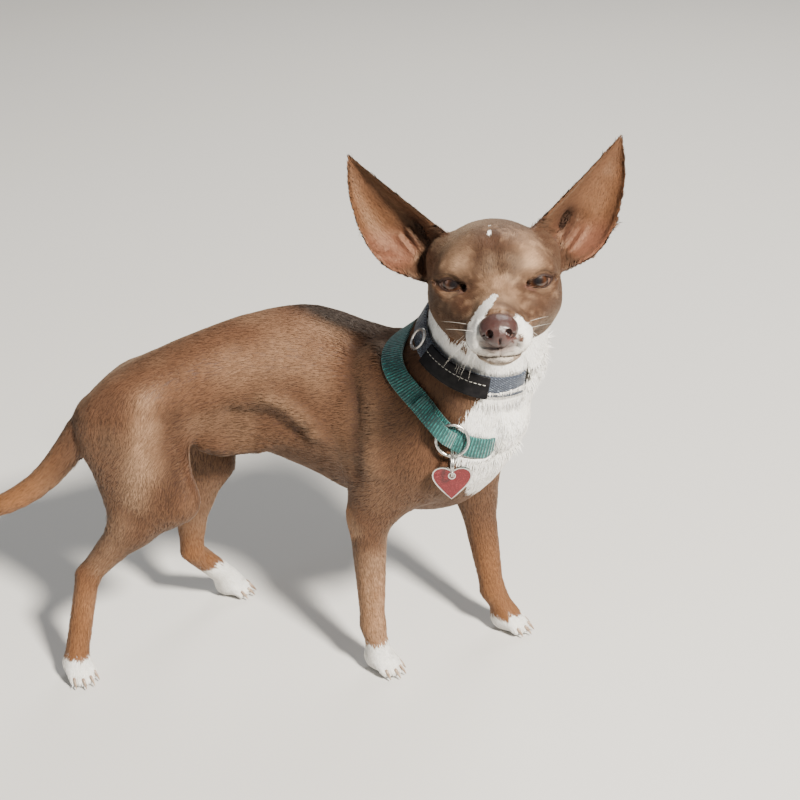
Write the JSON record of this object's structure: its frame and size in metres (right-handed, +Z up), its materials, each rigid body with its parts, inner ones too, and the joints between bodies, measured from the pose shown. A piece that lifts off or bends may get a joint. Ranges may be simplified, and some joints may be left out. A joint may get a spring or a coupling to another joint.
{
  "type": "chihuahua dog",
  "caption": "Life-size standing chihuahua, smooth brown and white coat, head turned back over one shoulder, large upright ears, with a collar, a lower strap and a heart-shaped tag.",
  "frame": {"origin": "on the floor, below the middle of the model's bounding box", "axes": "+X the way the dog stands, from the tail to the chest, +Y to its left, +Z up"},
  "size_m": [0.4082, 0.1486, 0.3224],
  "materials": {
    "coat": "short smooth fur, chocolate brown with white and tan markings",
    "leather": "moist liver-brown nose leather",
    "eye": "glossy brown eye",
    "claw": "horn, half gloss",
    "webbing": "woven webbing, dark blue with pale threads",
    "teal": "ribbed nylon webbing",
    "sleeve": "smooth black leather, stitched",
    "steel": "polished steel wire",
    "tag": "red enamel with fine glitter on steel"
  },
  "bodies": {
    "root": {"claw_front_left_1": "claw", "claw_front_left_2": "claw", "claw_front_left_3": "claw", "claw_front_left_4": "claw", "claw_front_right_1": "claw", "claw_front_right_2": "claw", "claw_front_right_3": "claw", "claw_front_right_4": "claw", "claw_hind_left_1": "claw", "claw_hind_left_2": "claw", "claw_hind_left_3": "claw", "claw_hind_left_4": "claw", "claw_hind_right_1": "claw", "claw_hind_right_2": "claw", "claw_hind_right_3": "claw", "claw_hind_right_4": "claw", "collar_band": "webbing", "collar_sleeve": "sleeve", "ear_left": "coat", "ear_right": "coat", "eye_left": "eye", "eye_right": "eye", "head": "coat", "heart_tag": "tag", "leg_front_left": "coat", "leg_front_right": "coat", "leg_hind_left": "coat", "leg_hind_right": "coat", "lower_strap": "teal", "neck": "coat", "nose": "leather", "oval_ring": "steel", "split_ring": "steel", "strap_fold": "teal", "tag_ring": "steel", "tail": "coat", "torso": "coat"}
  },
  "joints": []
}
